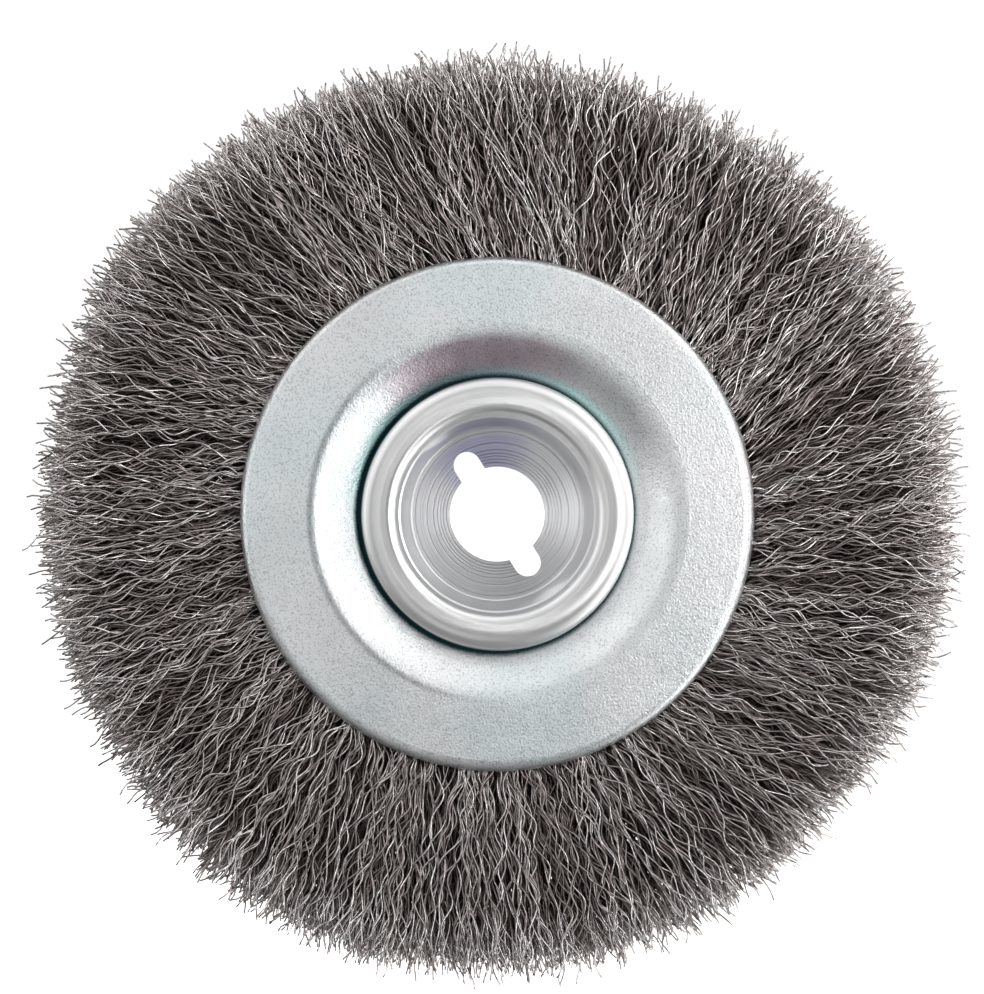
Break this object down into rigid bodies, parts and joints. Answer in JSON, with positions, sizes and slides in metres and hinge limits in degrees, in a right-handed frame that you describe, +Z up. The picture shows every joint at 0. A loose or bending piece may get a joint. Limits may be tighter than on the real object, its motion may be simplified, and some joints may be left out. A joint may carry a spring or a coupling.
{
  "type": "wire wheel brush",
  "caption": "Round crimped-wire wheel brush: loose steel bristles clamped between two dished zinc-plated side plates, with a drawn hub cup on each face and a keyed round bore.",
  "frame": {"origin": "the wheel's centre, on the axle line at mid-width", "axes": "+Y along the axle from the front face to the rear face, +X to the right and +Z up as the front face is looked at; the keyways lie on the line 122 degrees anticlockwise from +X"},
  "size_m": [0.2, 0.0238, 0.2],
  "materials": {
    "plate_zinc": "zinc plated and clear passivated pressed sheet, satin, slightly mottled",
    "hub_zinc": "zinc plated drawn cup, smooth rolled rim, turned web with fine rings",
    "plain_steel": "bare steel, hidden inside",
    "bristle_wire": "bare crimped high-carbon steel wire, dark grey with bright flanks"
  },
  "bodies": {
    "root": {"front_side_plate": "plate_zinc", "rear_side_plate": "plate_zinc", "front_hub_cup": "hub_zinc", "rear_hub_cup": "hub_zinc", "spacer_ring": "plain_steel", "core_ring": "plain_steel", "wire_bundle_01": "bristle_wire", "wire_bundle_02": "bristle_wire", "wire_bundle_03": "bristle_wire", "wire_bundle_04": "bristle_wire", "wire_bundle_05": "bristle_wire", "wire_bundle_06": "bristle_wire", "wire_bundle_07": "bristle_wire", "wire_bundle_08": "bristle_wire", "wire_bundle_09": "bristle_wire", "wire_bundle_10": "bristle_wire", "wire_bundle_11": "bristle_wire", "wire_bundle_12": "bristle_wire", "wire_bundle_13": "bristle_wire", "wire_bundle_14": "bristle_wire", "wire_bundle_15": "bristle_wire", "wire_bundle_16": "bristle_wire", "wire_bundle_17": "bristle_wire", "wire_bundle_18": "bristle_wire", "wire_bundle_19": "bristle_wire", "wire_bundle_20": "bristle_wire", "wire_bundle_21": "bristle_wire", "wire_bundle_22": "bristle_wire", "wire_bundle_23": "bristle_wire", "wire_bundle_24": "bristle_wire"}
  },
  "joints": []
}
